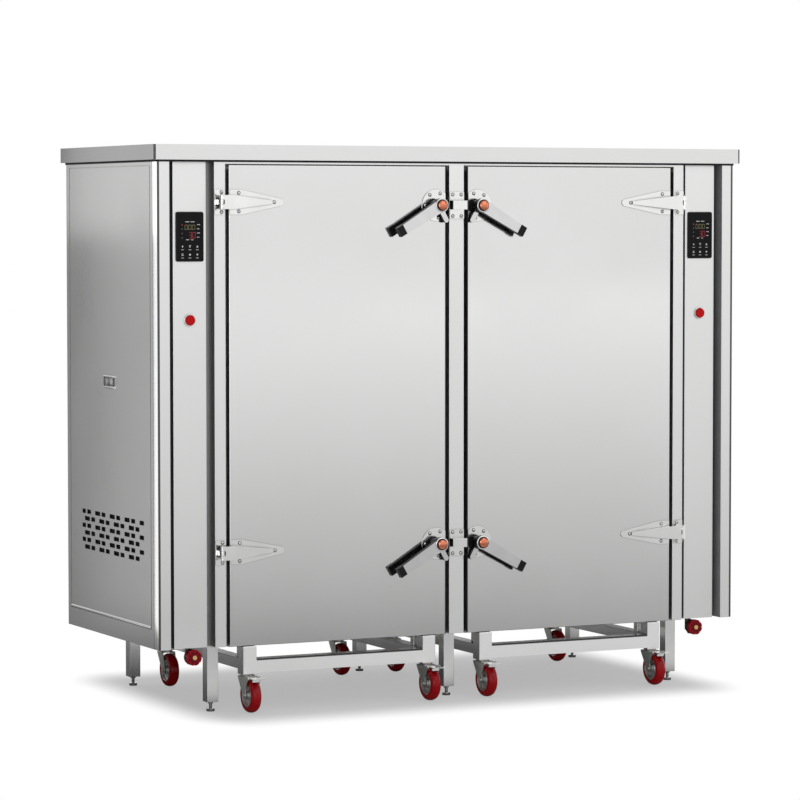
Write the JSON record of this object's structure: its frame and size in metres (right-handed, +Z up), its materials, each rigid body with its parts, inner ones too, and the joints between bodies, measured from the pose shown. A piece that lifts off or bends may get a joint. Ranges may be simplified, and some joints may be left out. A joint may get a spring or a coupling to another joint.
{
  "type": "trolley steamer cabinet",
  "caption": "Two-bay insulated steam cabinet with strap-hinged doors, swing latches, side control columns and wheeled tray trolleys parked inside.",
  "frame": {"origin": "centre of the bounding box's bottom face, on the floor, with doors shut and casters trailing to the front", "axes": "+X to the right along the front, -Y out of the doors, +Z up"},
  "size_m": [2.076, 0.8834, 1.756],
  "materials": {
    "stainless": "fine brushed stainless sheet",
    "stainless_frame": "brushed stainless tube",
    "stainless_inner": "dull stainless sheet",
    "fastener": "bright stainless",
    "cast_fitting": "polished cast stainless",
    "copper_cap": "polished copper-coloured cap",
    "wool": "mineral wool slab",
    "seal": "soft black silicone",
    "display": "black gloss face",
    "bezel": "turned ring",
    "button": "red gloss",
    "handwheel": "red enamel",
    "valve": "cast brass",
    "tank": "welded sheet",
    "tyre": "deep red elastomer",
    "fork": "zinc plated pressing",
    "pedal": "zinc plated pressing",
    "tray": "drawn tray",
    "foot": "plated steel"
  },
  "bodies": {
    "cabinet": {"top_cover": "stainless", "side_panels": "stainless", "service_panels": "stainless", "rear_panel": "stainless", "front_frame": "stainless", "control_columns": "stainless", "base_frame": "stainless_frame", "levelling_feet": "foot", "chamber_liners": "stainless_inner", "insulation": "wool", "door_gaskets": "seal", "hinge_leaves": "cast_fitting", "hinge_pins": "fastener", "latch_strikes": "cast_fitting", "frame_screws": "fastener", "control_displays": "display", "button_housings": "bezel", "drain_valves": "valve", "steam_generators": "tank", "trolley_frames": "stainless_frame", "trolley_racks": "stainless_frame", "trays": "tray"},
    "left_door": {"left_door_skin": "stainless", "left_door_inner_pan": "stainless_inner", "left_hinge_straps": "cast_fitting", "left_latch_bases": "copper_cap", "left_door_screws": "fastener"},
    "left_upper_latch_lever": {"left_upper_latch_lever": "cast_fitting"},
    "left_lower_latch_lever": {"left_lower_latch_lever": "cast_fitting"},
    "left_push_button": {"left_push_button": "button"},
    "left_valve_handwheel": {"left_valve_handwheel": "handwheel"},
    "left_front_outer_fork": {"left_front_outer_fork": "fork"},
    "left_front_outer_wheel": {"left_front_outer_wheel": "tyre"},
    "left_front_outer_brake_pedal": {"left_front_outer_brake_pedal": "pedal"},
    "left_rear_outer_fork": {"left_rear_outer_fork": "fork"},
    "left_rear_outer_wheel": {"left_rear_outer_wheel": "tyre"},
    "left_front_inner_fork": {"left_front_inner_fork": "fork"},
    "left_front_inner_wheel": {"left_front_inner_wheel": "tyre"},
    "left_front_inner_brake_pedal": {"left_front_inner_brake_pedal": "pedal"},
    "left_rear_inner_fork": {"left_rear_inner_fork": "fork"},
    "left_rear_inner_wheel": {"left_rear_inner_wheel": "tyre"},
    "right_door": {"right_door_skin": "stainless", "right_door_inner_pan": "stainless_inner", "right_hinge_straps": "cast_fitting", "right_latch_bases": "copper_cap", "right_door_screws": "fastener"},
    "right_upper_latch_lever": {"right_upper_latch_lever": "cast_fitting"},
    "right_lower_latch_lever": {"right_lower_latch_lever": "cast_fitting"},
    "right_push_button": {"right_push_button": "button"},
    "right_valve_handwheel": {"right_valve_handwheel": "handwheel"},
    "right_front_outer_fork": {"right_front_outer_fork": "fork"},
    "right_front_outer_wheel": {"right_front_outer_wheel": "tyre"},
    "right_front_outer_brake_pedal": {"right_front_outer_brake_pedal": "pedal"},
    "right_rear_outer_fork": {"right_rear_outer_fork": "fork"},
    "right_rear_outer_wheel": {"right_rear_outer_wheel": "tyre"},
    "right_front_inner_fork": {"right_front_inner_fork": "fork"},
    "right_front_inner_wheel": {"right_front_inner_wheel": "tyre"},
    "right_front_inner_brake_pedal": {"right_front_inner_brake_pedal": "pedal"},
    "right_rear_inner_fork": {"right_rear_inner_fork": "fork"},
    "right_rear_inner_wheel": {"right_rear_inner_wheel": "tyre"}
  },
  "joints": [
    {"name": "left_door_swing", "type": "hinge", "parent": "cabinet", "child": "left_door", "pos_m": [-0.8205, -0.38525, 1.04], "axis": [0, 0, -1], "range_deg": [0, 165]},
    {"name": "left_upper_latch_turn", "type": "hinge", "parent": "left_door", "child": "left_upper_latch_lever", "pos_m": [-0.0733, -0.37625, 1.571], "axis": [0, 1, 0], "range_deg": [-60, 0]},
    {"name": "left_lower_latch_turn", "type": "hinge", "parent": "left_door", "child": "left_lower_latch_lever", "pos_m": [-0.0733, -0.37625, 0.498], "axis": [0, 1, 0], "range_deg": [-60, 0]},
    {"name": "left_button_press", "type": "slide", "parent": "cabinet", "child": "left_push_button", "axis": [0, 1, 0], "range_m": [0, 0.004], "stiffness_N_per_m": 400, "springref_m": -0.002},
    {"name": "left_valve_turn", "type": "hinge", "parent": "cabinet", "child": "left_valve_handwheel", "pos_m": [-0.897, -0.33225, 0.177], "axis": [0, 1, 0], "range_deg": [0, 1080]},
    {"name": "left_front_outer_swivel", "type": "hinge", "parent": "cabinet", "child": "left_front_outer_fork", "pos_m": [-0.72125, -0.34175, 0.112], "axis": [0, 0, 1], "range_deg": [-90, 90]},
    {"name": "left_front_outer_roll", "type": "hinge", "parent": "left_front_outer_fork", "child": "left_front_outer_wheel", "pos_m": [-0.72125, -0.36975, 0.054], "axis": [1, 0, 0], "continuous": true},
    {"name": "left_front_outer_brake_press", "type": "hinge", "parent": "left_front_outer_fork", "child": "left_front_outer_brake_pedal", "pos_m": [-0.72125, -0.39375, 0.1085], "axis": [1, 0, 0], "range_deg": [0, 8]},
    {"name": "left_rear_outer_swivel", "type": "hinge", "parent": "cabinet", "child": "left_rear_outer_fork", "pos_m": [-0.72125, 0.32625, 0.112], "axis": [0, 0, 1], "continuous": true},
    {"name": "left_rear_outer_roll", "type": "hinge", "parent": "left_rear_outer_fork", "child": "left_rear_outer_wheel", "pos_m": [-0.72125, 0.29825, 0.054], "axis": [1, 0, 0], "continuous": true},
    {"name": "left_front_inner_swivel", "type": "hinge", "parent": "cabinet", "child": "left_front_inner_fork", "pos_m": [-0.10125, -0.34175, 0.112], "axis": [0, 0, 1], "range_deg": [-90, 90]},
    {"name": "left_front_inner_roll", "type": "hinge", "parent": "left_front_inner_fork", "child": "left_front_inner_wheel", "pos_m": [-0.10125, -0.36975, 0.054], "axis": [1, 0, 0], "continuous": true},
    {"name": "left_front_inner_brake_press", "type": "hinge", "parent": "left_front_inner_fork", "child": "left_front_inner_brake_pedal", "pos_m": [-0.10125, -0.39375, 0.1085], "axis": [1, 0, 0], "range_deg": [0, 8]},
    {"name": "left_rear_inner_swivel", "type": "hinge", "parent": "cabinet", "child": "left_rear_inner_fork", "pos_m": [-0.10125, 0.32625, 0.112], "axis": [0, 0, 1], "continuous": true},
    {"name": "left_rear_inner_roll", "type": "hinge", "parent": "left_rear_inner_fork", "child": "left_rear_inner_wheel", "pos_m": [-0.10125, 0.29825, 0.054], "axis": [1, 0, 0], "continuous": true},
    {"name": "right_door_swing", "type": "hinge", "parent": "cabinet", "child": "right_door", "pos_m": [0.8205, -0.38525, 1.04], "axis": [0, 0, 1], "range_deg": [0, 165]},
    {"name": "right_upper_latch_turn", "type": "hinge", "parent": "right_door", "child": "right_upper_latch_lever", "pos_m": [0.0733, -0.37625, 1.571], "axis": [0, -1, 0], "range_deg": [-60, 0]},
    {"name": "right_lower_latch_turn", "type": "hinge", "parent": "right_door", "child": "right_lower_latch_lever", "pos_m": [0.0733, -0.37625, 0.498], "axis": [0, -1, 0], "range_deg": [-60, 0]},
    {"name": "right_button_press", "type": "slide", "parent": "cabinet", "child": "right_push_button", "axis": [0, 1, 0], "range_m": [0, 0.004], "stiffness_N_per_m": 400, "springref_m": -0.002},
    {"name": "right_valve_turn", "type": "hinge", "parent": "cabinet", "child": "right_valve_handwheel", "pos_m": [0.897, -0.33225, 0.177], "axis": [0, 1, 0], "range_deg": [0, 1080]},
    {"name": "right_front_outer_swivel", "type": "hinge", "parent": "cabinet", "child": "right_front_outer_fork", "pos_m": [0.72125, -0.34175, 0.112], "axis": [0, 0, 1], "range_deg": [-90, 90]},
    {"name": "right_front_outer_roll", "type": "hinge", "parent": "right_front_outer_fork", "child": "right_front_outer_wheel", "pos_m": [0.72125, -0.36975, 0.054], "axis": [1, 0, 0], "continuous": true},
    {"name": "right_front_outer_brake_press", "type": "hinge", "parent": "right_front_outer_fork", "child": "right_front_outer_brake_pedal", "pos_m": [0.72125, -0.39375, 0.1085], "axis": [1, 0, 0], "range_deg": [0, 8]},
    {"name": "right_rear_outer_swivel", "type": "hinge", "parent": "cabinet", "child": "right_rear_outer_fork", "pos_m": [0.72125, 0.32625, 0.112], "axis": [0, 0, 1], "continuous": true},
    {"name": "right_rear_outer_roll", "type": "hinge", "parent": "right_rear_outer_fork", "child": "right_rear_outer_wheel", "pos_m": [0.72125, 0.29825, 0.054], "axis": [1, 0, 0], "continuous": true},
    {"name": "right_front_inner_swivel", "type": "hinge", "parent": "cabinet", "child": "right_front_inner_fork", "pos_m": [0.10125, -0.34175, 0.112], "axis": [0, 0, 1], "range_deg": [-90, 90]},
    {"name": "right_front_inner_roll", "type": "hinge", "parent": "right_front_inner_fork", "child": "right_front_inner_wheel", "pos_m": [0.10125, -0.36975, 0.054], "axis": [1, 0, 0], "continuous": true},
    {"name": "right_front_inner_brake_press", "type": "hinge", "parent": "right_front_inner_fork", "child": "right_front_inner_brake_pedal", "pos_m": [0.10125, -0.39375, 0.1085], "axis": [1, 0, 0], "range_deg": [0, 8]},
    {"name": "right_rear_inner_swivel", "type": "hinge", "parent": "cabinet", "child": "right_rear_inner_fork", "pos_m": [0.10125, 0.32625, 0.112], "axis": [0, 0, 1], "continuous": true},
    {"name": "right_rear_inner_roll", "type": "hinge", "parent": "right_rear_inner_fork", "child": "right_rear_inner_wheel", "pos_m": [0.10125, 0.29825, 0.054], "axis": [1, 0, 0], "continuous": true}
  ]
}
